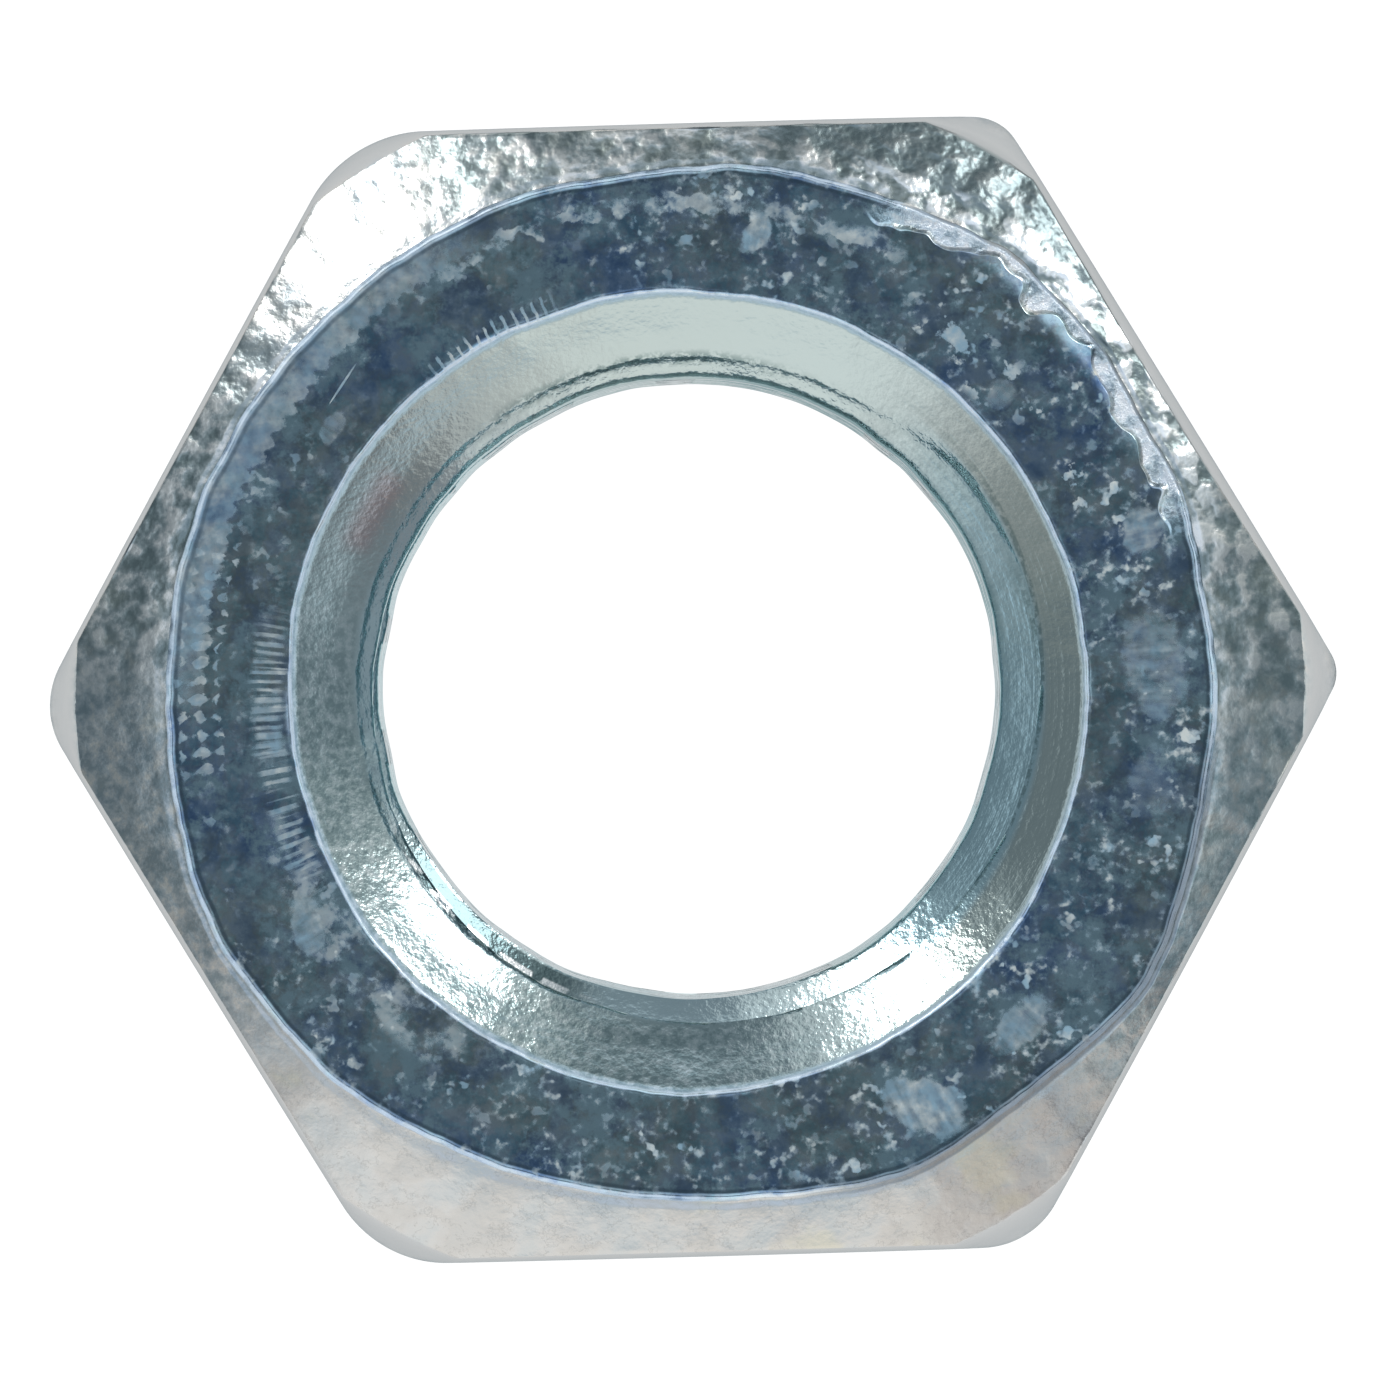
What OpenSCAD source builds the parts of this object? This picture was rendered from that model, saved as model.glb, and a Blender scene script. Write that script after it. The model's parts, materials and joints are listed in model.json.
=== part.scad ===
// Hexagon full nut with a right-hand metric thread, M12 size.
// Origin: centre of the lower bearing face. +Z is the thread axis, and two corners lie on the X axis.

/* [Hexagon] */
// Width across flats, which is the spanner size
across_flats = 19; // [18.5:0.1:22]
// Height from bearing face to bearing face
nut_height = 10; // [8:0.5:16]
// Radius of the six rounded corners
corner_r = 1.0; // [0.4:0.1:2.4]

/* [Bearing faces and chamfers] */
// Outer diameter of each flat bearing face
bearing_d = 17.4; // [16:0.1:18.2]
// Radius of the ball that each chamfer is part of, which makes it slope by about 30 degrees
chamfer_ball_r = 19; // [16:0.5:30]
// Diameter at which the chamfer turns steeper, on the corners only
shoulder_d = 20.6; // [19.5:0.1:21.5]
// Radius of the ball that the steep end is part of, which makes it slope by about 60 degrees
shoulder_ball_r = 12.2; // [11.2:0.1:14]

/* [Thread] */
// Nominal diameter of the thread
thread_d = 12; // [11.8:0.1:12.4]
// Distance from one turn of the thread to the next
pitch = 1.75; // [1.25:0.25:2]
// Bore through the crests of the thread
bore_d = 10.4; // [9.8:0.1:10.8]
// How far the groove's root lies outside the nominal radius
root_clearance = 0.08; // [0:0.01:0.12]
// Angle at which the middle of the groove passes the height of the lower face, in degrees
groove_start = -125; // [-180:1:180]

/* [Countersinks] */
// Diameter of each countersink at the bearing face
countersink_d = 13.2; // [12.8:0.1:14]
// Full angle of each countersink, in degrees
countersink_angle = 110; // [90:1:120]
// Diameter at which the countersink turns into the rolled lip of the bore
lip_d = 11.15; // [10.9:0.05:11.6]
// Full angle of the rolled lip, in degrees
lip_angle = 80; // [60:1:90]

/* [Hidden] */

corners = 6;
corner_step = 360 / corners;
// Half of the hexagon's width, and the place of each rounded corner's centre
apothem = across_flats / 2;
corner_centre_r = (apothem - corner_r) / cos(corner_step / 2);

// How far a ball's centre lies from the circle of radius r on it, measured along the nut's axis
function centre_depth(ball_r, r) = sqrt(ball_r * ball_r - r * r);
bearing_r = bearing_d / 2;
shoulder_r = shoulder_d / 2;
chamfer_centre = centre_depth(chamfer_ball_r, bearing_r);
shoulder_depth = chamfer_centre - centre_depth(chamfer_ball_r, shoulder_r);
shoulder_centre = shoulder_depth + centre_depth(shoulder_ball_r, shoulder_r);

// Depth of the countersink and of the rolled lip below the bearing face
bore_r = bore_d / 2;
lip_r = lip_d / 2;
countersink_r = countersink_d / 2;
countersink_depth = (countersink_r - lip_r) / tan(countersink_angle / 2);
lip_depth = countersink_depth + (lip_r - bore_r) / tan(lip_angle / 2);

// Metric thread profile: 60 degree flanks and a root an eighth of the pitch wide at the nominal radius
flank_slope = tan(30);
thread_r = thread_d / 2;
root_r = thread_r + root_clearance;
groove_inner_r = bore_r - 0.4;
function groove_half_width(r) = pitch / 16 + (thread_r - r) * flank_slope;

// The groove is swept past both faces, so that it runs out through the countersinks
steps_per_turn = 48;
overrun = pitch;
groove_steps = ceil((nut_height + 2 * overrun) / pitch * steps_per_turn);
first_angle = groove_start - 360 * overrun / pitch;

// Small overlap that keeps a cut from ending on the face it starts from
cut = 1;

// One cross-section of the groove: inner bottom, outer bottom, outer top, inner top
function groove_section(angle) =
    let (z = pitch * (angle - groove_start) / 360,
         inner_w = groove_half_width(groove_inner_r),
         root_w = groove_half_width(root_r))
    [for (p = [[groove_inner_r, -inner_w], [root_r, -root_w],
               [root_r, root_w], [groove_inner_r, inner_w]])
        [p[0] * cos(angle), p[0] * sin(angle), z + p[1]]];

// Helical groove of the thread, as one closed solid
module thread_groove() {
    sections = [for (i = [0:groove_steps])
        groove_section(first_angle + i * 360 / steps_per_turn)];
    side = 4;
    last = groove_steps * side;
    walls = [for (i = [0:groove_steps - 1], k = [0:side - 1])
        let (a = i * side + k,
             b = i * side + (k + 1) % side)
        each [[a, b, a + side], [b, b + side, a + side]]];
    caps = [[3, 2, 1, 0], [last, last + 1, last + 2, last + 3]];
    polyhedron(points = [for (s = sections) each s], faces = concat(caps, walls), convexity = 10);
}

// Hexagonal prism whose corners are true arcs, tangent to the flats
module rounded_hexagon() {
    for (i = [0:corners - 1])
        rotate(i * corner_step)
            translate([corner_centre_r, 0, 0])
                cylinder(r = corner_r, h = nut_height, $fn = 48);
    linear_extrude(nut_height)
        polygon([for (i = [0:corners - 1], side = [-1, 1])
            let (turn = i * corner_step, out = turn + side * corner_step / 2)
            [corner_centre_r * cos(turn) + corner_r * cos(out),
             corner_centre_r * sin(turn) + corner_r * sin(out)]]);
}

// Everything inside both balls of one end, with the bearing face at face_z and the nut on its inward side
module inside_chamfer(face_z, inward) {
    intersection() {
        translate([0, 0, face_z + inward * chamfer_centre])
            sphere(r = chamfer_ball_r, $fn = 180);
        translate([0, 0, face_z + inward * shoulder_centre])
            sphere(r = shoulder_ball_r, $fn = 180);
    }
}

// Hexagon with rounded corners, chamfered on both ends
module chamfered_hexagon() {
    intersection() {
        rounded_hexagon();
        intersection() {
            inside_chamfer(0, 1);
            inside_chamfer(nut_height, -1);
        }
    }
}

// Bore with a countersink and a rolled lip at each end
module bore() {
    slope = 1 / tan(countersink_angle / 2);
    rotate_extrude($fn = 128)
        polygon([[0, -cut], [countersink_r + cut / slope, -cut], [lip_r, countersink_depth],
                 [bore_r, lip_depth], [bore_r, nut_height - lip_depth],
                 [lip_r, nut_height - countersink_depth],
                 [countersink_r + cut / slope, nut_height + cut], [0, nut_height + cut]]);
}

// The whole nut, which is a single piece of steel
module hex_nut() {
    color("slategray")
        difference() {
            chamfered_hexagon();
            bore();
            thread_groove();
        }
}

hex_nut();
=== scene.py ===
import json
import math
import bpy
import numpy as np
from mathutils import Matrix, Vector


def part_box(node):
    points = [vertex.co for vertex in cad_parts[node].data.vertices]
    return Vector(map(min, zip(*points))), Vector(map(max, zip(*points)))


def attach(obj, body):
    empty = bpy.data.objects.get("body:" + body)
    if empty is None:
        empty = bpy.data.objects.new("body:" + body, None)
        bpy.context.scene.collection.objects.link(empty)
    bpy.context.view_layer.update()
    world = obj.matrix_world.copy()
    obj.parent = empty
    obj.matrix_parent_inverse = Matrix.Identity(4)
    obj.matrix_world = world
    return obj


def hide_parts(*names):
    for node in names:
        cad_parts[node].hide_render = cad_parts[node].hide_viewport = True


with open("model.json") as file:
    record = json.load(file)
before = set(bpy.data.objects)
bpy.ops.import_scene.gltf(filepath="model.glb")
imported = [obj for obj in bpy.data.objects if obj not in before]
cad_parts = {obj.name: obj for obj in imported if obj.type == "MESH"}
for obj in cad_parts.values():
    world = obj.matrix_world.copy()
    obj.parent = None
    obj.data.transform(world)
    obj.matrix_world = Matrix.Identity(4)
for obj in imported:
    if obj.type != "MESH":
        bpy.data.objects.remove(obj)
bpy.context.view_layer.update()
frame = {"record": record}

# Lengths in the mesh code are millimetres. Z is the thread's axis and the nut stands on Z = 0
MM = 0.001
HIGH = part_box("hex_nut")[1]
TOP = HIGH.z / MM
APOTHEM = HIGH.y / MM
MOUNTS = {mount["name"]: mount for mount in frame["record"]["mounts"]}
BORE_R = MOUNTS["thread"]["dims"]["r_mm"]

# Round outline of each end
COUNTERSINK_R = 6.6
BEARING_R = 8.7
CHAMFER_BALL_R = 19.0
SHOULDER_R = 10.3
EDGE_SLOPE = math.tan(math.radians(60))

# Where the rims of the bearing face stray from true circles: how far outwards, at which angle, how widely.
# The inner rim is worn back by RIM_WEAR all the way round
RIM_WEAR = 0.03
INNER_BULGES = ((0.02, 95, 22), (0.14, 148, 34), (0.09, 222, 22), (0.10, 268, 26), (0.08, 312, 20))
OUTER_BULGES = (
    (0.08, -2, 10), (0.10, 20, 6), (0.32, 50, 16), (0.08, 82, 12), (-0.10, 95, 8),
    (0.05, 158, 8), (0.19, 205, 16), (0.09, 226, 9), (-0.20, 265, 28), (0.17, 292, 9),
    (-0.08, 310, 6), (0.20, 320, 22), (0.15, 328, 9),
)

# Sections through those rims: distances outwards from the rim, and drops below the bearing face
RIM_WIDE = 0.14
INNER_RIM = ((0.0, 0.024), (0.015, 0.012), (0.035, 0.004), (0.055, 0.001), (0.08, 0.001), (RIM_WIDE, 0.002))
OUTER_RIM = (
    (-RIM_WIDE, 0.012), (-0.09, 0.012), (-0.06, 0.010), (-0.04, 0.006), (-0.02, 0.005),
    (0.0, 0.010), (0.015, 0.017), (0.03, 0.026), (0.06, 0.042), (0.12, 0.075),
)

# Bore below each bearing face, as depths and radii: a cone, a step, a rolled lip and its steep inner edge
CONE_SLOPE = math.tan(math.radians(55))
CONE_DEPTH = 0.70
LIP_PROFILE = ((0.70, 5.60), (0.79, 5.515), (0.96, 5.31), (1.04, 5.25), (1.15, 5.21), (1.3, 5.20))

# Right-hand M12 thread
PITCH = 1.75
THREAD_R = 6.0
ROOT_R = 6.08
FLANK = math.tan(math.radians(30))
GROOVE_START = -125.0

# Stored at each point of the mesh for the material: shares from 0 to 1, then lengths in millimetres
ZONES = ("cast", "bore", "flats", "coarse", "steep", "out_mm", "in_mm", "depth", "run_out")

# Dents in the bearing face: angle, distance from the axis, length, width, lean of the length, and dullness
DENTS = (
    (298, 7.98, 1.5, 1.0, -20, 1.0),
    (313, 7.9, 1.2, 0.7, 40, 0.8),
    (2, 7.8, 2.0, 1.1, 95, 0.65),
    (347, 7.9, 1.3, 0.8, 80, 0.5),
    (18, 8.05, 0.9, 0.8, 80, 0.8),
    (80, 7.75, 0.75, 0.45, 75, 1.0),
    (42, 7.2, 0.6, 0.5, 10, 0.6),
    (142, 7.4, 0.7, 0.35, 60, 0.6),
    (210, 7.5, 1.1, 0.6, 100, 0.8),
)

# Columns of the mesh: fine round the upper end, half as many below it, closer together at the corners
FINE = 720
CROWD = 0.35
JOIN_Z = 8.6
CREASE_ANGLE = 38
CORNER_RADII = (0.6, 0.8, 2.2, 1.4, 2.0, 1.4)


def smooth(x, low, high):
    """0 below low, 1 above high, and a smooth rise between them."""
    t = np.clip((x - low) / (high - low), 0.0, 1.0)
    return t * t * (3.0 - 2.0 * t)


def bell(x, middle, width):
    """Bell curve of height 1."""
    return np.exp(-((x - middle) / width) ** 2)


def turn(angle, middle):
    """Signed difference between two angles, in degrees."""
    return (angle - middle + 180.0) % 360.0 - 180.0


def noise(points, cell, seed):
    """Smooth seeded noise from -1 to 1, with bumps about one cell across."""
    side = 48
    table = np.random.default_rng(seed).uniform(-1.0, 1.0, (side, side, side))
    p = np.asarray(points) / cell + 17.3
    base = np.floor(p).astype(int)
    f = p - base
    f = f * f * (3.0 - 2.0 * f)
    total = np.zeros(p.shape[:-1])
    for corner in range(8):
        step = np.array([corner & 1, corner >> 1 & 1, corner >> 2 & 1])
        weight = np.prod(np.where(step == 1, f, 1.0 - f), axis=-1)
        i = (base + step) % side
        total += weight * table[i[..., 0], i[..., 1], i[..., 2]]
    return total


def layered(points, cell, seed, layers=3):
    """Noise with finer, weaker layers added to it."""
    total = 0.0
    for layer in range(layers):
        total = total + noise(points, cell / 2.0**layer, seed + layer) / 2.0**layer
    return total


def ring_noise(angle, cell, seed, r=8.0):
    """Noise along a circle of radius r, as wavy edges need it."""
    a = np.radians(angle)
    return noise(np.stack([r * np.cos(a), r * np.sin(a), 0.0 * a], axis=-1), cell, seed)


def hexagon_r(angle):
    """Distance from the axis to the nut's side, where each corner has its own radius."""
    corner = np.round(angle / 60.0).astype(int) % 6
    off = np.radians(np.abs(turn(angle, corner * 60.0)))
    radius = np.array(CORNER_RADII)[corner]
    half = math.radians(30)
    centre = (APOTHEM - radius) / math.cos(half)
    tangent = np.arctan2(radius * math.sin(half), centre + radius * math.cos(half))
    flat = APOTHEM / np.cos(half - off)
    under = np.maximum(radius**2 - (centre * np.sin(off)) ** 2, 0.0)
    return np.where(off < tangent, centre * np.cos(off) + np.sqrt(under), flat)


def chamfer_drop(r):
    """How far the round chamfer lies below the bearing face."""
    return math.sqrt(CHAMFER_BALL_R**2 - BEARING_R**2) - np.sqrt(CHAMFER_BALL_R**2 - r**2)


def bulge(angle, bulges):
    """How far a rim strays from its circle."""
    return sum(height * bell(turn(angle, middle), 0, width) for height, middle, width in bulges)


def inner_edge(angle):
    """Radius of the wavy line where the bearing face meets the countersink."""
    wave = 0.03 * ring_noise(angle, 1.1, 11) + 0.012 * ring_noise(angle, 0.3, 14)
    return COUNTERSINK_R + RIM_WEAR + wave + bulge(angle, INNER_BULGES)


def outer_edge(angle):
    """Radius of the wavy line where the bearing face meets the chamfer."""
    ragged = 1.0 + 1.6 * bell(turn(angle, 40), 0, 24) + 1.1 * bell(turn(angle, 172), 0, 20)
    ragged += 0.9 * bell(turn(angle, 98), 0, 18)
    wave = ragged * (0.03 * ring_noise(angle, 1.5, 12) + 0.022 * ring_noise(angle, 0.5, 13))
    wave += 0.014 * ring_noise(angle, 0.22, 16)
    return BEARING_R + wave + bulge(angle, OUTER_BULGES)


def slump(angle, inwards):
    """How far the torn stretch of the outer rim has sunk, at a distance inwards of it."""
    return 0.08 * bell(turn(angle, 43), 0, 17) * (1.0 - smooth(inwards, 0.0, 0.42))


def blank_r(depth):
    """Radius of the bore before threading, at a depth below the nearer bearing face."""
    depths, radii = zip(*LIP_PROFILE)
    lip = np.interp(depth, depths, radii) - radii[-1] + BORE_R
    return np.where(depth < CONE_DEPTH, COUNTERSINK_R - depth * CONE_SLOPE, lip)


def groove_r(angle, z):
    """Radius of the thread's groove, which the screw's ridge runs in."""
    centre = PITCH * (angle - GROOVE_START) / 360.0
    off = np.abs((z - centre + PITCH / 2.0) % PITCH - PITCH / 2.0)
    return np.minimum(THREAD_R + (PITCH / 16.0 - off) / FLANK, ROOT_R)


def soft_max(a, b, blend):
    """Larger of two values, with the crease between them rounded."""
    return 0.5 * (a + b + np.sqrt((a - b) ** 2 + blend**2))


def bore_surface(angle, z):
    """Radius of the threaded hole."""
    depth = np.minimum(z, TOP - z)
    scallops = 0.035 * ring_noise(angle, 0.5, 63, 5.5) + 0.03 * ring_noise(angle, 1.6, 64, 5.5)
    crest = blank_r(depth + scallops * smooth(depth, 0.5, 0.8))
    crest = crest + crest_wear(angle, depth) + rim_shift(angle, z)
    groove = groove_r(angle, z) - 0.3 * (1.0 - smooth(depth, 0.35, 0.8))
    return soft_max(crest, groove, 0.06)


def rim_shift(angle, z):
    """How far the cone's upper end lies outwards of its true circle, so that it meets the wavy rim."""
    return (inner_edge(angle) - COUNTERSINK_R) * smooth(z, TOP - 0.5, TOP)


def crest_wear(angle, depth):
    """Uneven crests and rolled lip, as tapping leaves them."""
    wave = 0.07 * ring_noise(angle, 3.2, 61, 5.3) + 0.03 * ring_noise(angle, 0.7, 62, 5.3)
    return wave * smooth(depth, 0.5, 0.9)


def columns(count):
    """Angles of the mesh columns, in degrees."""
    u = np.arange(count) * 360.0 / count
    return u - np.degrees(CROWD / 6.0 * np.sin(np.radians(6.0 * u)))


class Shell:
    """Collects rings of points and the faces between them."""

    def __init__(self):
        self.points = []
        self.faces = []
        self.count = 0

    def add(self, points):
        """Takes in new points and gives their numbers."""
        start = self.count
        self.points.append(points)
        self.count += len(points)
        return np.arange(start, self.count)

    def ring(self, angle, r, z):
        """A closed ring of points, one at each angle."""
        a = np.radians(angle)
        r = np.broadcast_to(r, a.shape)
        z = np.broadcast_to(z, a.shape)
        return self.add(np.stack([r * np.cos(a), r * np.sin(a), z], axis=-1))

    def bridge(self, one, two):
        """Quads between rings of the same count, or triangles where the second has half as many."""
        if len(one) == len(two):
            quads = np.stack([one, np.roll(one, -1), np.roll(two, -1), two], axis=-1)
            self.faces += quads.tolist()
            return
        if len(one) < len(two):
            raise ValueError("the finer ring comes first")
        a, b, c = one[0::2], one[1::2], np.roll(one[0::2], -1)
        d, e = two, np.roll(two, -1)
        for corners in ((a, b, d), (b, e, d), (b, c, e)):
            self.faces += np.stack(corners, axis=-1).tolist()


def edge_drop(wide, share):
    """Drop of the rounded edge between chamfer and flat, at a share of its width from the chamfer."""
    return wide * EDGE_SLOPE * (0.55 * share + 0.45 * share * share)


def upper_rings(shell, angle):
    """Bearing face, rounded rims, chamfer and the rounded edge above the flats."""
    inner = inner_edge(angle)
    outer = outer_edge(angle)
    burr = 0.005 * (1.0 + ring_noise(angle, 0.9, 15))
    side = hexagon_r(angle)
    edge = 0.09 + 0.11 * bell(turn(angle, 30), 0, 26)
    shoulder = np.minimum(side - edge, SHOULDER_R)
    rings = []
    for x, drop in INNER_RIM:
        rings.append(shell.ring(angle, inner + x, TOP - drop + burr * bell(x, 0.055, 0.02)))
    for t in np.linspace(0, 1, 16)[1:-1]:
        r = (inner + RIM_WIDE) * (1 - t) + (outer - RIM_WIDE) * t
        height = TOP - 0.002 - 0.01 * smooth(t, 0.6, 1.0)
        rings.append(shell.ring(angle, r, height - slump(angle, outer - r)))
    for x, drop in OUTER_RIM:
        height = TOP - drop + burr * bell(x, -0.03, 0.02)
        rings.append(shell.ring(angle, outer + x, height - slump(angle, -x)))
    start = outer + OUTER_RIM[-1][0]
    chamfer_top = TOP - slump(angle, 0.0) + chamfer_drop(outer)
    for t in np.linspace(0, 1, 17)[1:]:
        r = start * (1 - t) + shoulder * t
        rings.append(shell.ring(angle, r, chamfer_top - chamfer_drop(r)))
    edge_top = chamfer_top - chamfer_drop(shoulder)
    wide = side - shoulder
    for share in (0.12, 0.35, 0.6, 0.85, 1.0):
        rings.append(shell.ring(angle, shoulder + wide * share, edge_top - edge_drop(wide, share)))
    return rings, edge_top - wide * EDGE_SLOPE


def lower_profile(angle, side):
    """Radius and height of each ring from the lower end of the flats inwards and up to the bore."""
    shoulder = np.minimum(side - 0.1, SHOULDER_R)
    wide = side - shoulder
    profile = []
    for share in (1.0, 0.6, 0.25, 0.0):
        profile.append((shoulder + wide * share, chamfer_drop(shoulder) + edge_drop(wide, share)))
    for t in (0.75, 0.5, 0.25, 0.05, 0.0):
        r = BEARING_R * (1 - t) + shoulder * t
        profile.append((r, chamfer_drop(r)))
    for r in (8.6, 8.2, 7.6, 7.0, 6.65, COUNTERSINK_R):
        profile.append((r, 0.0))
    for z in (0.1, 0.25, 0.4, 0.55, 0.7, 0.8, 0.9, 1.0, 1.1, 1.2):
        profile.append((bore_surface(angle, np.full_like(angle, z)), z))
    return profile


def upper_bore(shell, angle, top_join, rim):
    """Fine level rings from the top of the thread's rows up to the rim of the bearing face."""
    cone_z = TOP - 0.66
    levels = np.append(np.linspace(JOIN_Z, cone_z, 25)[1:], np.linspace(cone_z, TOP - 0.028, 13)[1:])
    rings = [shell.ring(angle, bore_surface(angle, np.full_like(angle, z)), z) for z in levels]
    first = len(shell.faces)
    shell.bridge(rings[0], top_join)
    shell.faces[first:] = [face[::-1] for face in shell.faces[first:]]
    for one, two in zip(rings, rings[1:] + [rim]):
        shell.bridge(one, two)


def build_nut():
    """The nut as one closed shell, from the bearing face outwards, down, inwards and up the bore."""
    shell = Shell()
    fine = columns(FINE)
    coarse = fine[0::2]
    rings, side_top = upper_rings(shell, fine)
    side = hexagon_r(coarse)
    profile = lower_profile(coarse, side)
    upper = side_top[0::2]
    lower = profile[0][1]
    for t in np.linspace(0, 1, 9)[1:]:
        rings.append(shell.ring(coarse, side, upper * (1 - t) + lower * t))
    for r, z in profile[1:]:
        rings.append(shell.ring(coarse, r, z))
    joins = []
    for z in (TOP - JOIN_Z, JOIN_Z):
        joins.append(shell.ring(coarse, bore_surface(coarse, np.full_like(coarse, z)), z))
    for one, two in zip(rings, rings[1:] + joins[:1]):
        shell.bridge(one, two)
    thread_rows(shell, coarse, *joins)
    upper_bore(shell, fine, joins[1], rings[0])
    return shell


def thread_rows(shell, angle, bottom, top):
    """Rows that follow the helix between two level rings. A row that leaves the span joins a level ring."""
    phases = (0.0, 0.08, 0.14, 0.34, 0.53, 0.6, 0.74)
    phases = sorted(phases + tuple(-p for p in phases[1:]) + (PITCH / 2.0,))
    per_turn = len(phases)
    low = TOP - JOIN_Z + 0.02
    high = JOIN_Z - 0.02
    turns = range(-2, int(JOIN_Z / PITCH) + 3)
    offsets = np.array([p + PITCH * k for k in turns for p in phases])
    z = offsets[:, None] + PITCH * (angle[None, :] - GROOVE_START) / 360.0
    inside = (z > low) & (z < high)
    index = np.where(z <= low, bottom[None, :], top[None, :])
    rows, cols = np.nonzero(inside)
    a = np.radians(angle[cols])
    r = bore_surface(angle[cols], z[rows, cols])
    index[rows, cols] = shell.add(np.stack([r * np.cos(a), r * np.sin(a), z[rows, cols]], axis=-1))
    n = len(angle)
    for j in range(n):
        here = index[:, j]
        there = index[:, j + 1] if j < n - 1 else index[:, 0]
        shift = 0 if j < n - 1 else per_turn
        for i in range(len(offsets) - 1 - shift):
            face = (here[i], there[i + shift], there[i + 1 + shift], here[i + 1])
            face = [int(v) for k, v in enumerate(face) if v != face[k - 1]]
            if len(set(face)) >= 3:
                shell.faces.append(face)


def make_piece(shell, name):
    """Smooth-shaded object made of a shell, with its creases kept sharp."""
    mesh = bpy.data.meshes.new(name)
    points = np.concatenate(shell.points) * MM
    mesh.from_pydata(points.tolist(), [], [face[::-1] for face in shell.faces])
    mesh.validate()
    mesh.update()
    piece = bpy.data.objects.new(name, mesh)
    bpy.context.collection.objects.link(piece)
    mesh.polygons.foreach_set("use_smooth", [True] * len(mesh.polygons))
    mesh.set_sharp_from_angle(angle=math.radians(CREASE_ANGLE))
    return piece


def surface_zones(points, normals, angle):
    """How far each point belongs to each zone, and its distances from the rims and the nearer face."""
    r = np.hypot(points[:, 0], points[:, 1])
    depth = np.minimum(points[:, 2], TOP - points[:, 2])
    out_mm = r - outer_edge(angle)
    in_mm = inner_edge(angle) - r
    cast = smooth(out_mm, 0.0, 0.06)
    steep = smooth(-normals[:, 2], -0.75, -0.6) * cast
    glare = bell(turn(angle, 124), 0, 15)
    coarse = 0.08 + 0.92 * bell(turn(angle, 70), 0, 66) + 0.4 * bell(turn(angle, 163), 0, 15)
    coarse *= cast * (1.0 - steep) * (1.0 - 0.6 * glare)
    flats = cast * smooth(depth, 1.4, 1.7)
    bore = smooth(in_mm, -0.03, 0.03)
    zones = {"cast": cast, "bore": bore, "flats": flats, "coarse": coarse, "steep": steep}
    zones.update({"out_mm": out_mm, "in_mm": in_mm, "depth": depth})
    return zones


def relief(points, angle, zones):
    """How far each point moves outwards: least on the bearing face, most where the forging is coarse."""
    cast = zones["cast"]
    bore = zones["bore"]
    thread = bore * smooth(zones["depth"], 0.6, 0.8)
    face = (1.0 - cast) * (1.0 - bore)
    nuggets = bell(turn(angle, 42), 0, 22) * bell(zones["out_mm"], 0.28, 0.26)
    grains = 0.022 * layered(points, 0.6, 23, 2) + 0.04 * nuggets * noise(points, 0.42, 28)
    rubs = 0.008 * layered(points * [1, 1, 0.4], 2.2, 25) + 0.003 * layered(points, 0.6, 29)
    push = face * (0.005 * layered(points, 1.6, 21) + 0.0025 * layered(points, 0.42, 22))
    push += cast * (1.0 - zones["steep"]) * 0.012 * layered(points, 1.3, 24)
    push += zones["coarse"] * grains
    push += zones["flats"] * rubs
    push += bore * (1.0 - thread) * 0.0022 * layered(points, 0.3, 26)
    push += thread * 0.006 * layered(points, 0.5, 27)
    return push


def roughen(piece):
    """Moves the surface in and out a little, zone by zone, and stores the zones for the material."""
    mesh = piece.data
    count = len(mesh.vertices)
    points = np.empty(count * 3)
    normals = np.empty(count * 3)
    mesh.vertices.foreach_get("co", points)
    mesh.vertices.foreach_get("normal", normals)
    points = points.reshape(-1, 3) / MM
    normals = normals.reshape(-1, 3)
    angle = np.degrees(np.arctan2(points[:, 1], points[:, 0]))
    zones = surface_zones(points, normals, angle)
    points += normals * relief(points, angle, zones)[:, None]
    zones["run_out"] = groove_r(angle, points[:, 2]) - blank_r(zones["depth"])
    mesh.vertices.foreach_set("co", (points * MM).ravel())
    for name in ZONES:
        layer = mesh.attributes.new(name, "FLOAT", "POINT")
        layer.data.foreach_set("value", zones[name].astype(np.float32))
    mesh.update()


def put(tree, kind, inputs=None, **settings):
    """Adds a shader node. Each input is a value, or the output of another node."""
    item = tree.nodes.new(kind)
    for name, value in settings.items():
        setattr(item, name, value)
    for key, value in (inputs or {}).items():
        socket = item.inputs[key]
        if isinstance(value, bpy.types.NodeSocket):
            tree.links.new(value, socket)
        else:
            socket.default_value = value
    return item


def sums(tree, operation, a, b=0.0, c=0.0, clamp=False):
    """A Math node's result."""
    item = put(tree, "ShaderNodeMath", {0: a, 1: b, 2: c}, operation=operation, use_clamp=clamp)
    return item.outputs[0]


def ramp(tree, value, stops):
    """A ColorRamp from (position, colour) pairs."""
    item = put(tree, "ShaderNodeValToRGB", {"Fac": value})
    elements = item.color_ramp.elements
    while len(elements) < len(stops):
        elements.new(0.5)
    for element, (position, colour) in zip(elements, stops):
        element.position = position
        element.color = (*colour, 1.0) if isinstance(colour, tuple) else (colour, colour, colour, 1.0)
    return item.outputs["Color"]


def mix(tree, factor, a, b):
    """Mixes two colours."""
    item = put(tree, "ShaderNodeMix", {"Factor": factor}, data_type="RGBA")
    for socket, value in ((item.inputs[6], a), (item.inputs[7], b)):
        if isinstance(value, bpy.types.NodeSocket):
            tree.links.new(value, socket)
        else:
            socket.default_value = (*value, 1.0)
    return item.outputs[2]


def rise(tree, value, low, high):
    """0 where value is below low, 1 above high, smooth between."""
    inputs = {"Value": value, "From Min": low, "From Max": high}
    return put(tree, "ShaderNodeMapRange", inputs, interpolation_type="SMOOTHSTEP").outputs["Result"]


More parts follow.
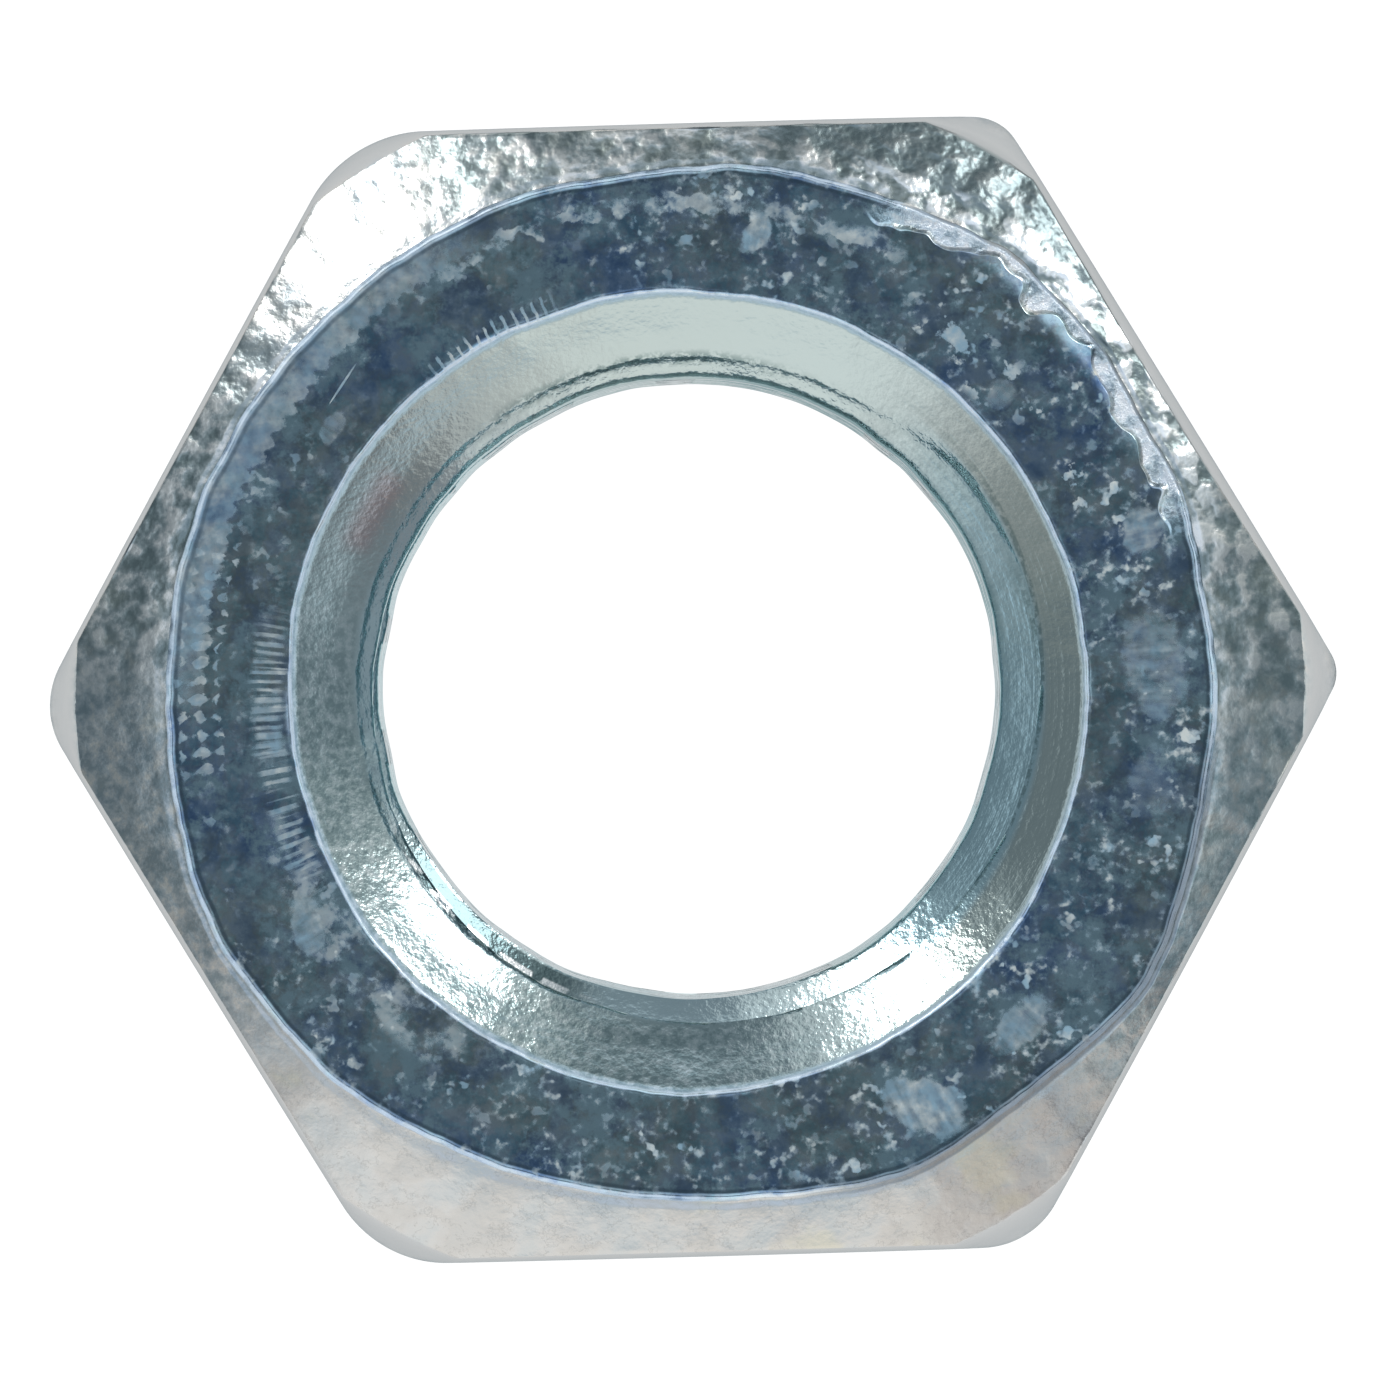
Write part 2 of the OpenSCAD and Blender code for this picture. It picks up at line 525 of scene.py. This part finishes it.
def product(tree, *factors):
    """All the factors multiplied."""
    total = factors[0]
    for factor in factors[1:]:
        total = sums(tree, "MULTIPLY", total, factor)
    return total


def largest(tree, *values):
    """The largest of the values."""
    total = values[0]
    for value in values[1:]:
        total = sums(tree, "MAXIMUM", total, value)
    return total


def window(tree, value, low, high, fade):
    """1 where value lies from low to high, fading to 0 at both ends."""
    return product(tree, rise(tree, value, low, low + fade), rise(tree, value, high, high - fade))


def grain(tree, where, size, detail=3.0, roughness=0.55):
    """Noise with bumps about size across."""
    inputs = {"Vector": where, "Scale": 1.0 / size, "Detail": detail, "Roughness": roughness}
    return put(tree, "ShaderNodeTexNoise", inputs).outputs["Fac"]


def zone(tree, name):
    """A number stored at the points of the mesh."""
    return put(tree, "ShaderNodeAttribute", attribute_name=name).outputs["Fac"]


def vector(tree, operation, a, b):
    """A Vector Math node."""
    return put(tree, "ShaderNodeVectorMath", {0: a, 1: b}, operation=operation)


class Place:
    """Where a shading point is, which zones it lies in, and the noises that several patterns share."""

    def __init__(self, tree):
        self.tree = tree
        metres = put(tree, "ShaderNodeTexCoord").outputs["Object"]
        self.mm = vector(tree, "MULTIPLY", metres, (1 / MM,) * 3).outputs[0]
        self.level = vector(tree, "MULTIPLY", self.mm, (1, 1, 0)).outputs[0]
        self.radius = put(tree, "ShaderNodeVectorMath", {0: self.level}, operation="LENGTH").outputs["Value"]
        self.direction = put(tree, "ShaderNodeVectorMath", {0: self.level}, operation="NORMALIZE").outputs[0]
        x, y, _ = put(tree, "ShaderNodeSeparateXYZ", {0: self.level}).outputs
        self.angle = sums(tree, "ARCTAN2", y, x)
        for name in ZONES:
            setattr(self, name, zone(tree, name))
        self.face = sums(tree, "SUBTRACT", 1.0, sums(tree, "MAXIMUM", self.cast, self.bore), clamp=True)
        self.blotch = grain(tree, self.mm, 0.42, 5.0, 0.62)
        self.pebble = grain(tree, self.mm, 0.38, 2.0, 0.5)
        self.cloud = grain(tree, self.mm, 0.9, 4.0)

    def streaks(self, around, across, detail=2.0):
        """Noise that changes around times in a radian and across times in a millimetre outwards."""
        turned = vector(self.tree, "MULTIPLY", self.direction, (around, around, 0)).outputs[0]
        x, y, _ = put(self.tree, "ShaderNodeSeparateXYZ", {0: turned}).outputs
        out = sums(self.tree, "MULTIPLY", self.radius, across)
        joined = put(self.tree, "ShaderNodeCombineXYZ", {0: x, 1: y, 2: out}).outputs[0]
        return grain(self.tree, joined, 1.0, detail)

    def teeth(self, count, stray):
        """From -1 to 1 and back, count times round the nut, each one put a little out of step by stray."""
        phase = sums(self.tree, "MULTIPLY_ADD", self.angle, count, product(self.tree, stray, 6.0))
        return sums(self.tree, "SINE", phase)

    def sector(self, middle, half):
        """1 within half degrees of the middle angle, fading out beside it."""
        a = math.radians(middle)
        dot = vector(self.tree, "DOT_PRODUCT", self.direction, (math.cos(a), math.sin(a), 0)).outputs["Value"]
        return rise(self.tree, dot, math.cos(math.radians(half * 1.35)), math.cos(math.radians(half * 0.75)))

    def spot(self, middle, r, length, width, lean, ragged):
        """Oval patch with a ragged edge, length along its own long side, leaning lean degrees from X."""
        a = math.radians(middle)
        inputs = {"Vector": self.level, "Location": (r * math.cos(a), r * math.sin(a), 0)}
        inputs["Rotation"] = (0, 0, math.radians(lean))
        inputs["Scale"] = (length / 2, width / 2, 1)
        local = put(self.tree, "ShaderNodeMapping", inputs, vector_type="TEXTURE").outputs[0]
        far = put(self.tree, "ShaderNodeVectorMath", {0: local}, operation="LENGTH").outputs["Value"]
        far = sums(self.tree, "MULTIPLY_ADD", ragged, 1.2, far)
        return rise(self.tree, far, 1.7, 1.4)


def rim_bands(place, reach):
    """Dull bands along the outer rim: a toothed one on the upper left, and a wandering one at the top."""
    tree = place.tree
    toothed = sums(tree, "MULTIPLY_ADD", place.teeth(160.0, place.blotch), 0.05, reach)
    left = product(tree, window(tree, toothed, 8.1, 9.2, 0.08), place.sector(147, 30), 0.62)
    wander = sums(tree, "MULTIPLY_ADD", sums(tree, "SUBTRACT", place.pebble, 0.5), 0.7, reach)
    top = product(tree, window(tree, wander, 7.95, 8.35, 0.1), rise(tree, place.blotch, 0.36, 0.56))
    return largest(tree, left, product(tree, top, place.sector(92, 30), 0.8))


def comb_marks(place, reach):
    """Short radial lines in two places near the inner rim."""
    tree = place.tree
    lines = product(tree, place.teeth(290.0, place.blotch), 0.4)
    lines = rise(tree, sums(tree, "MULTIPLY_ADD", place.streaks(70, 0.5), 4.0, lines), 1.4, 2.4)
    comb = product(tree, lines, window(tree, reach, 6.72, 7.45, 0.2), place.sector(188, 18), 0.85)
    bristles = rise(tree, place.teeth(240.0, place.blotch), 0.3, 0.9)
    bristles = product(tree, bristles, window(tree, reach, 6.6, 7.05, 0.1), place.sector(118, 9))
    return largest(tree, comb, bristles)


def bead_marks(place, reach):
    """Rows of small dull beads on the left, below the toothed band."""
    tree = place.tree
    rows = sums(tree, "SINE", sums(tree, "MULTIPLY", reach, 17.0))
    beads = sums(tree, "MULTIPLY_ADD", rows, 0.9, place.teeth(172.0, place.blotch))
    beads = rise(tree, sums(tree, "MULTIPLY_ADD", grain(tree, place.mm, 0.3, 3.0), 2.4, beads), 1.15, 2.0)
    return product(tree, beads, window(tree, reach, 7.85, 8.62, 0.06), place.sector(174, 14), 0.85)


def die_marks(place):
    """Dull rims and comb marks that the forming tools left on the bearing face."""
    tree = place.tree
    uneven = sums(tree, "SUBTRACT", place.blotch, 0.5)
    reach = sums(tree, "MULTIPLY_ADD", uneven, 0.5, place.radius)
    marks = (rim_bands, comb_marks, bead_marks)
    return largest(tree, *(mark(place, reach) for mark in marks))


def knocks(place):
    """Old marks in the bearing face: oval dents with fine lines across them, and one scratch."""
    tree = place.tree
    dents = [product(tree, place.spot(*dent, place.blotch), dull) for *dent, dull in DENTS]
    lines = sums(tree, "MULTIPLY_ADD", place.streaks(60, 1.2), 1.0, 0.3)
    scratch = place.spot(137, 7.75, 0.85, 0.04, 55, 0.5)
    return largest(tree, product(tree, largest(tree, *dents), lines), scratch)


def scuffing(place, broad, dust):
    """Dull veils and scuffs, broken up into fine specks."""
    tree = place.tree
    veil = sums(tree, "MULTIPLY_ADD", dust, 1.8, sums(tree, "MULTIPLY_ADD", place.blotch, 0.9, broad))
    veil = rise(tree, veil, 1.78, 2.8)
    scuffs = product(tree, rise(tree, broad, 0.44, 0.64), rise(tree, place.blotch, 0.52, 0.74), 0.6)
    speckled = sums(tree, "MULTIPLY_ADD", rise(tree, dust, 0.36, 0.64), 0.8, 0.45)
    return product(tree, largest(tree, veil, scuffs), speckled)


def chipping(place):
    """Chips beside the inner rim at the upper right, and a brushed stretch beside it at the lower left."""
    tree = place.tree
    chips = rise(tree, grain(tree, place.mm, 0.55, 4.0, 0.6), 0.57, 0.63)
    chips = product(tree, chips, window(tree, place.radius, 6.65, 7.9, 0.3), place.sector(38, 22), 0.85)
    brushed = product(tree, rise(tree, place.blotch, 0.42, 0.60), window(tree, place.radius, 6.65, 7.8, 0.3))
    return largest(tree, chips, product(tree, brushed, place.sector(217, 20), 0.5))


def frosting(place):
    """How dull the bearing face is: tool marks, dents, flecks, scuffs and chips."""
    tree = place.tree
    broad = grain(tree, place.mm, 1.1, 3.0)
    dust = grain(tree, place.mm, 0.17, 2.0, 0.5)
    spared = largest(
        tree,
        product(tree, place.sector(132, 30), 0.5),
        product(tree, place.sector(181, 24), 0.55),
    )
    exposed = sums(tree, "SUBTRACT", 1.0, spared)
    flecks = rise(tree, grain(tree, place.mm, 0.3, 2.0), 0.59, 0.69)
    flecks = product(tree, flecks, sums(tree, "MULTIPLY_ADD", rise(tree, broad, 0.44, 0.64), 0.7, 0.4))
    mottle = sums(tree, "MULTIPLY_ADD", dust, 0.9, 0.35)
    marks = product(tree, largest(tree, die_marks(place), knocks(place)), mottle, 0.95)
    scuffs = product(tree, scuffing(place, broad, dust), exposed)
    return largest(tree, marks, product(tree, flecks, exposed), scuffs, chipping(place))


def face_tint(place, frost):
    """Dark blue, clouded with teal, brown and grey. Pale where it is dull."""
    tree = place.tree
    tint = ramp(tree, grain(tree, place.mm, 0.75, 5.0, 0.66), [
        (0.38, (0.24, 0.38, 0.68)), (0.45, (0.42, 0.53, 0.72)), (0.51, (0.56, 0.56, 0.52)),
        (0.57, (0.46, 0.80, 0.80)), (0.64, (0.90, 0.84, 0.74)),
    ])
    shade = ramp(tree, grain(tree, place.mm, 0.45, 4.0, 0.6), [
        (0.39, (0.17, 0.23, 0.35)), (0.49, (0.51, 0.59, 0.66)), (0.59, (0.98, 1.0, 1.0)),
    ])
    tint = mix(tree, 0.5, tint, shade)
    drift = ramp(tree, grain(tree, place.mm, 2.6, 2.0), [
        (0.42, (0.32, 0.50, 0.75)), (0.50, (0.50, 0.62, 0.66)), (0.58, (0.68, 0.70, 0.56)),
    ])
    tint = mix(tree, 0.3, tint, drift)
    haze = product(tree, rise(tree, grain(tree, place.mm, 0.8, 6.0, 0.72), 0.49, 0.62), 0.85)
    tint = mix(tree, haze, tint, (0.82, 1.0, 1.0))
    pale = ramp(tree, place.blotch, [
        (0.40, (0.46, 0.62, 0.68)), (0.50, (0.62, 0.70, 0.70)), (0.62, (0.90, 0.89, 0.80)),
    ])
    return mix(tree, rise(tree, frost, 0.08, 0.75), tint, pale)


def chamfer_ground(place):
    """Greyish, bluish and brownish by turns. Dull on the left, teal on the right, clean at the bottom."""
    tree = place.tree
    tint = ramp(tree, place.cloud, [
        (0.34, (0.48, 0.53, 0.56)), (0.46, (0.56, 0.57, 0.56)),
        (0.56, (0.58, 0.56, 0.53)), (0.68, (0.54, 0.57, 0.58)),
    ])
    fine = grain(tree, place.mm, 0.28, 4.0, 0.65)
    dull = ramp(tree, fine, [
        (0.40, (0.20, 0.27, 0.30)), (0.52, (0.38, 0.43, 0.45)), (0.64, (0.58, 0.57, 0.53)),
    ])
    tint = mix(tree, product(tree, place.sector(182, 34), 0.8), tint, dull)
    teal = ramp(tree, fine, [
        (0.38, (0.24, 0.36, 0.38)), (0.50, (0.49, 0.59, 0.60)), (0.64, (0.69, 0.69, 0.64)),
    ])
    tint = mix(tree, product(tree, place.sector(-10, 32), 0.75), tint, teal)
    clean = ramp(tree, place.cloud, [
        (0.40, (0.58, 0.60, 0.60)), (0.50, (0.62, 0.62, 0.61)), (0.60, (0.58, 0.57, 0.55)),
    ])
    return mix(tree, product(tree, place.sector(262, 40), 0.8), tint, clean)


def chamfer_tint(place):
    """Smeared where it is smooth, pitted where the forging is coarse, with straw-coloured stains. Painted
    shade far out on the upper right, and painted highlight on the nuggets near the rim there.
    """
    tree = place.tree
    smears = window(tree, grain(tree, place.mm, 0.7, 5.0, 0.7), 0.485, 0.515, 0.012)
    smears = product(tree, smears, rise(tree, place.coarse, 0.3, 0.1), 0.35)
    tint = mix(tree, smears, chamfer_ground(place), (0.36, 0.36, 0.35))
    pits = sums(tree, "MULTIPLY_ADD", place.blotch, 0.6, product(tree, place.pebble, 0.6))
    pitted = ramp(tree, pits, [
        (0.52, (0.19, 0.24, 0.24)), (0.60, (0.37, 0.42, 0.42)), (0.69, (0.80, 0.78, 0.74)),
    ])
    tint = mix(tree, product(tree, rise(tree, place.coarse, 0.12, 0.5), 0.9), tint, pitted)
    # Painted shade: darker far out on the chamfer at the upper right.
    far_out_shade = product(tree, rise(tree, place.out_mm, 0.35, 0.6), place.sector(50, 29), 0.8)
    tint = mix(tree, far_out_shade, tint, (0.19, 0.24, 0.25))
    # Nuggets near the rim at the upper right: raised grains that catch the light, with a near-white colour
    # that is painted highlight.
    nuggets = product(tree, rise(tree, place.pebble, 0.47, 0.55), place.sector(43, 24), 0.85)
    nuggets = product(tree, nuggets, window(tree, place.out_mm, 0.06, 0.62, 0.14))
    tint = mix(tree, nuggets, tint, (0.95, 0.97, 0.97))
    stain = product(tree, rise(tree, grain(tree, place.mm, 1.3, 4.0), 0.55, 0.68), 0.5)
    stain = product(tree, stain, sums(tree, "MAXIMUM", place.sector(262, 50), 0.3))
    return mix(tree, stain, tint, (0.66, 0.64, 0.51))


def bore_ground(place, speck):
    """Greenish, ringed by the countersinking tool and two-toned on the right, mottled on the lower left, with
    a pale painted reflection at the lip on the left.
    """
    tree = place.tree
    ringed = ramp(tree, place.streaks(1.2, 16.0, 3.0), [
        (0.38, (0.42, 0.50, 0.51)), (0.5, (0.49, 0.57, 0.58)), (0.62, (0.53, 0.61, 0.61)),
    ])
    tint = mix(tree, product(tree, place.sector(5, 42), 0.8), (0.50, 0.585, 0.58), ringed)
    right = place.sector(-8, 46)
    tint = mix(tree, product(tree, rise(tree, place.depth, 0.40, 0.52), right, 0.8), tint, (0.42, 0.59, 0.63))
    tint = mix(tree, product(tree, rise(tree, place.depth, 0.50, 0.40), right, 0.7), tint, (0.42, 0.47, 0.43))
    # Painted reflection: a pale band where the flatter lip mirrors brighter light, on the left.
    lip_painted_sheen = product(tree, rise(tree, place.depth, 0.62, 0.74), place.sector(200, 78), 0.6)
    tint = mix(tree, lip_painted_sheen, tint, (0.70, 0.84, 0.87))
    mottled = ramp(tree, speck, [
        (0.40, (0.24, 0.33, 0.34)), (0.52, (0.46, 0.55, 0.55)), (0.64, (0.66, 0.72, 0.72)),
    ])
    above_lip = rise(tree, place.depth, 0.72, 0.6)
    return mix(tree, product(tree, place.sector(226, 56), above_lip, 0.7), tint, mottled)


def bore_edge_shade(place, speck):
    """Painted shade: dark lines in the bore under the step above the lip, and along the edge that the
    thread's run-out leaves.
    """
    tree = place.tree
    step = product(tree, window(tree, place.depth, 0.6, 0.88, 0.1), rise(tree, speck, 0.38, 0.6), 0.6)
    spared = largest(tree, place.sector(158, 30), place.sector(234, 28), place.sector(44, 26))
    step = product(tree, step, sums(tree, "MULTIPLY_ADD", spared, -0.8, 1.0))
    edge = window(tree, place.run_out, -0.1, 0.16, 0.07)
    edge = product(tree, edge, window(tree, place.depth, 0.1, 0.9, 0.1))
    edge = product(tree, edge, place.sector(-28, 62), rise(tree, speck, 0.40, 0.56), 0.6)
    return largest(tree, step, edge)


def bore_tint(place):
    """The bore's ground with one rusty place, painted shade along its dark edges, in a band at the hole's
    edge and on the rolled lip, and bright dashes of painted highlight on the rolled lip.
    """
    tree = place.tree
    speck = grain(tree, place.mm, 0.16, 3.0, 0.65)
    rust = product(tree, place.sector(149, 6), window(tree, place.depth, 0.15, 0.6, 0.2), 0.5)
    tint = mix(tree, rust, bore_ground(place, speck), (0.60, 0.42, 0.42))
    # Painted shade along the bore's edges.
    tint = mix(tree, bore_edge_shade(place, speck), tint, (0.14, 0.22, 0.22))
    # Painted shade: a dark band at the hole's edge on the upper right.
    throat = product(tree, rise(tree, place.radius, 5.40, 5.24), place.sector(44, 34), 0.75)
    tint = mix(tree, throat, tint, (0.20, 0.33, 0.35))
    # Painted shade on the rolled lip at the lower left, with painted highlight in white dashes along it.
    rolled = product(tree, window(tree, place.radius, 5.2, 5.56, 0.05), place.sector(227, 20))
    tint = mix(tree, product(tree, rolled, 0.95), tint, (0.12, 0.18, 0.19))
    dashes = product(tree, rise(tree, place.teeth(44.0, place.pebble), -0.6, 0.1), rolled)
    dashes = product(tree, dashes, window(tree, place.radius, 5.40, 5.54, 0.04))
    return mix(tree, dashes, tint, (0.97, 0.98, 0.98))


def flat_tint(place):
    """Even grey, with blotches from the plating and lengthwise rub marks on the flats."""
    tree = place.tree
    along = vector(tree, "MULTIPLY", place.mm, (1, 1, 0.12)).outputs[0]
    rubbed = ramp(tree, grain(tree, along, 0.22, 4.0, 0.6), [
        (0.38, (0.37, 0.39, 0.40)), (0.5, (0.49, 0.50, 0.50)), (0.62, (0.60, 0.61, 0.60)),
    ])
    patchy = ramp(tree, place.blotch, [
        (0.4, (0.40, 0.43, 0.45)), (0.52, (0.50, 0.51, 0.50)), (0.64, (0.60, 0.58, 0.54)),
    ])
    marks = mix(tree, 0.45, rubbed, patchy)
    return mix(tree, product(tree, place.flats, 0.85), (0.50, 0.51, 0.51), marks)


def rim_burr_and_highlight(place):
    """The burr folded over along both rims, broken up into beads, in a pale bluish colour that is painted
    highlight over the light the rounded rims catch.
    """
    tree = place.tree
    outer = window(tree, place.out_mm, -0.05, 0.06, 0.03)
    inner = window(tree, place.in_mm, -0.08, 0.02, 0.03)
    bead = rise(tree, grain(tree, place.mm, 0.3, 4.0, 0.6), 0.38, 0.58)
    bead = sums(tree, "MULTIPLY_ADD", bead, 0.75, 0.15)
    return product(tree, largest(tree, outer, inner), bead)


def rim_tear(place):
    """The torn stretch along the outer rim at the upper right."""
    tree = place.tree
    ragged = sums(tree, "SUBTRACT", grain(tree, place.mm, 1.0, 1.3), 0.5)
    reach = sums(tree, "MULTIPLY_ADD", ragged, 1.4, place.out_mm)
    return product(tree, window(tree, reach, -0.32, 0.4, 0.1), place.face, place.sector(42, 20))


def zinc_tint(place, frost, burr_and_highlight, tear):
    """The colours of all zones, with the rims over them. Painted shade lies in the crease inside the outer
    rim, and painted highlight on the rims and the torn stretch.
    """
    tree = place.tree
    tint = mix(tree, place.face, chamfer_tint(place), face_tint(place, frost))
    tint = mix(tree, place.bore, tint, bore_tint(place))
    tint = mix(tree, place.steep, tint, flat_tint(place))
    # Painted shade: a dark line in the crease just inside the outer rim.
    groove = product(tree, window(tree, place.out_mm, -0.16, -0.03, 0.05), place.face, 0.6)
    tint = mix(tree, groove, tint, (0.20, 0.27, 0.32))
    # The torn stretch: dark metal, then pale to white where it catches the light, and that white is painted
    # highlight.
    torn = ramp(tree, place.blotch, [
        (0.40, (0.30, 0.37, 0.41)), (0.47, (0.72, 0.79, 0.82)), (0.56, (1.0, 1.0, 1.0)),
    ])
    tint = mix(tree, product(tree, tear, 0.9), tint, torn)
    # Painted highlight: pale bluish colour along both rims.
    tint = mix(tree, burr_and_highlight, tint, (0.80, 0.87, 0.92))
    # Darker along the outer rim at the lower right.
    outer_rim_darkening = product(tree, place.sector(318, 30), window(tree, place.out_mm, -0.08, 0.16, 0.04), 0.75)
    return mix(tree, outer_rim_darkening, tint, (0.24, 0.26, 0.28))


def zinc_roughness(place, frost, burr_and_highlight, tear):
    """Smoothest on the bright parts of the bearing face."""
    tree = place.tree
    rough = sums(tree, "MULTIPLY_ADD", place.cloud, 0.10, 0.08)
    rough = sums(tree, "MULTIPLY_ADD", frost, 0.40, rough)
    rough = sums(tree, "MULTIPLY_ADD", largest(tree, burr_and_highlight, product(tree, tear, 1.6)), 0.2, rough)
    rough = sums(tree, "MULTIPLY_ADD", place.coarse, 0.14, rough)
    return sums(tree, "MULTIPLY_ADD", place.flats, 0.10, rough)


def zinc_height(place, tear):
    """Fine relief, in millimetres."""
    tree = place.tree
    dust = grain(tree, place.mm, 0.1, 2.0)
    turned = product(tree, place.streaks(1.2, 16.0), place.bore, place.sector(5, 45))
    height = sums(tree, "MULTIPLY", place.cloud, sums(tree, "MULTIPLY_ADD", place.flats, 0.04, 0.02))
    height = sums(tree, "MULTIPLY_ADD", product(tree, place.pebble, place.coarse), 0.06, height)
    height = sums(tree, "MULTIPLY_ADD", product(tree, place.blotch, place.cast), 0.012, height)
    height = sums(tree, "MULTIPLY_ADD", product(tree, dust, place.bore), 0.008, height)
    height = sums(tree, "MULTIPLY_ADD", product(tree, tear, place.blotch), -0.2, height)
    return sums(tree, "MULTIPLY_ADD", turned, 0.006, height)


def zinc():
    """Bright zinc plating over a cold-forged surface."""
    material = bpy.data.materials.new("zinc_plated_steel")
    material.use_nodes = True
    tree = material.node_tree
    tree.nodes.clear()
    place = Place(tree)
    frost = product(tree, frosting(place), place.face)
    burr_and_highlight = rim_burr_and_highlight(place)
    tear = rim_tear(place)
    height = zinc_height(place, tear)
    bump = put(tree, "ShaderNodeBump", {"Strength": 1.0, "Distance": MM, "Height": height})
    shader = put(tree, "ShaderNodeBsdfPrincipled", {
        "Base Color": zinc_tint(place, frost, burr_and_highlight, tear),
        "Roughness": zinc_roughness(place, frost, burr_and_highlight, tear),
        "Normal": bump.outputs[0],
        "Metallic": 1.0,
        "Specular Tint": (0.6, 0.64, 0.66, 1.0),
    })
    put(tree, "ShaderNodeOutputMaterial", {"Surface": shader.outputs[0]})
    return material


def make_floor():
    """Plain white floor, lit from within like a light table."""
    radius = 0.6
    below = 0.01 * MM
    angles = np.linspace(0, math.tau, 96)[:-1]
    ring = [(radius * math.cos(a), radius * math.sin(a), -below) for a in angles]
    mesh = bpy.data.meshes.new("floor")
    mesh.from_pydata(ring, [], [list(range(len(ring)))])
    floor = bpy.data.objects.new("floor", mesh)
    bpy.context.collection.objects.link(floor)
    material = bpy.data.materials.new("floor_white")
    material.use_nodes = True
    shader = material.node_tree.nodes["Principled BSDF"]
    shader.inputs["Base Color"].default_value = (0.1, 0.1, 0.1, 1.0)
    shader.inputs["Roughness"].default_value = 0.9
    shader.inputs["Specular IOR Level"].default_value = 0.0
    shader.inputs["Emission Color"].default_value = (1.0, 1.0, 1.0, 1.0)
    shader.inputs["Emission Strength"].default_value = 1.0
    mesh.materials.append(material)


# What the metal mirrors from the side, by compass angle in degrees
SIDES = [
    (0, (0.26, 0.31, 0.35)), (12, (0.32, 0.38, 0.41)), (24, (0.55, 0.60, 0.62)),
    (34, (0.96, 0.99, 1.00)), (54, (0.96, 0.99, 1.00)), (66, (0.48, 0.53, 0.55)),
    (74, (0.24, 0.29, 0.32)), (98, (0.22, 0.27, 0.31)), (110, (0.80, 0.85, 0.88)),
    (134, (0.80, 0.86, 0.90)), (142, (0.30, 0.36, 0.40)), (150, (0.23, 0.28, 0.32)),
    (180, (0.25, 0.30, 0.34)), (195, (0.35, 0.39, 0.41)), (210, (0.48, 0.50, 0.52)),
    (225, (0.80, 0.80, 0.80)), (240, (1.10, 1.10, 1.09)), (285, (1.08, 1.06, 1.03)),
    (300, (0.80, 0.77, 0.75)), (311, (0.66, 0.64, 0.64)), (318, (0.32, 0.31, 0.32)),
    (330, (0.25, 0.27, 0.30)), (345, (0.29, 0.34, 0.38)), (360, (0.26, 0.31, 0.35)),
]
# What it mirrors from above, by angle from straight up in degrees
ABOVE = [
    (0, (0.088, 0.122, 0.153)), (10, (0.095, 0.131, 0.165)), (24, (0.50, 0.62, 0.76)),
    (40, (0.80, 0.90, 1.05)), (52, (0.60, 0.68, 0.74)),
]


def make_world():
    """Pale surroundings that the metal mirrors. The camera sees plain white."""
    world = bpy.data.worlds.new("studio")
    bpy.context.scene.world = world
    world.use_nodes = True
    tree = world.node_tree
    tree.nodes.clear()
    toward = put(tree, "ShaderNodeTexCoord").outputs["Generated"]
    x, y, z = put(tree, "ShaderNodeSeparateXYZ", {0: toward}).outputs
    polar = sums(tree, "DIVIDE", sums(tree, "ARCCOSINE", z), math.pi)
    compass = sums(tree, "FRACT", sums(tree, "DIVIDE", sums(tree, "ARCTAN2", y, x), math.tau))
    side = ramp(tree, compass, [(angle / 360.0, colour) for angle, colour in SIDES])
    above = ramp(tree, polar, [(angle / 180.0, colour) for angle, colour in ABOVE])
    low = ramp(tree, polar, [(48 / 180, 0.0), (62 / 180, 1.0)])
    light = mix(tree, low, above, side)
    seen = put(tree, "ShaderNodeLightPath").outputs["Is Camera Ray"]
    light = mix(tree, seen, light, (1.0, 1.0, 1.0))
    background = put(tree, "ShaderNodeBackground", {"Color": light})
    put(tree, "ShaderNodeOutputWorld", {"Surface": background.outputs[0]})


def softbox(name, compass, polar, wide, tall, radiance):
    """Area light that faces the nut. Angles and sizes are degrees as seen from the nut."""
    away = 0.5
    a, p = math.radians(compass), math.radians(polar)
    light = bpy.data.lights.new(name, "AREA")
    light.shape = "RECTANGLE"
    light.size = 2 * away * math.tan(math.radians(wide / 2))
    light.size_y = 2 * away * math.tan(math.radians(tall / 2))
    light.energy = radiance * math.pi * light.size * light.size_y
    lamp = bpy.data.objects.new(name, light)
    lamp.location = (away * math.sin(p) * math.cos(a), away * math.sin(p) * math.sin(a), away * math.cos(p))
    lamp.rotation_euler = (p, 0.0, a + math.pi / 2)
    bpy.context.collection.objects.link(lamp)


def make_camera():
    """Straight down on the upper face, from 450 mm above it, with the nut turned a little in the picture."""
    width = 23.15 * MM
    height = 450.0 * MM
    aside = 0.025 * MM
    turned = 1.6
    data = bpy.data.cameras.new("camera")
    data.sensor_width = 36.0
    data.lens = 36.0 * height / width
    data.clip_start = 0.01
    camera = bpy.data.objects.new("camera", data)
    camera.location = (aside, -aside, HIGH.z + height)
    camera.rotation_euler = (0.0, 0.0, math.radians(-turned))
    bpy.context.collection.objects.link(camera)
    bpy.context.scene.camera = camera


make_camera()
make_world()
softbox("softbox_right", 44, 69, 20, 20, 4.5)
softbox("softbox_left", 125, 64, 14, 26, 5.0)
make_floor()

nut = make_piece(build_nut(), "nut_body")
roughen(nut)
nut.data.materials.append(zinc())
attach(nut, "root")
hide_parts("hex_nut")

bpy.context.scene.view_settings.view_transform = "Standard"
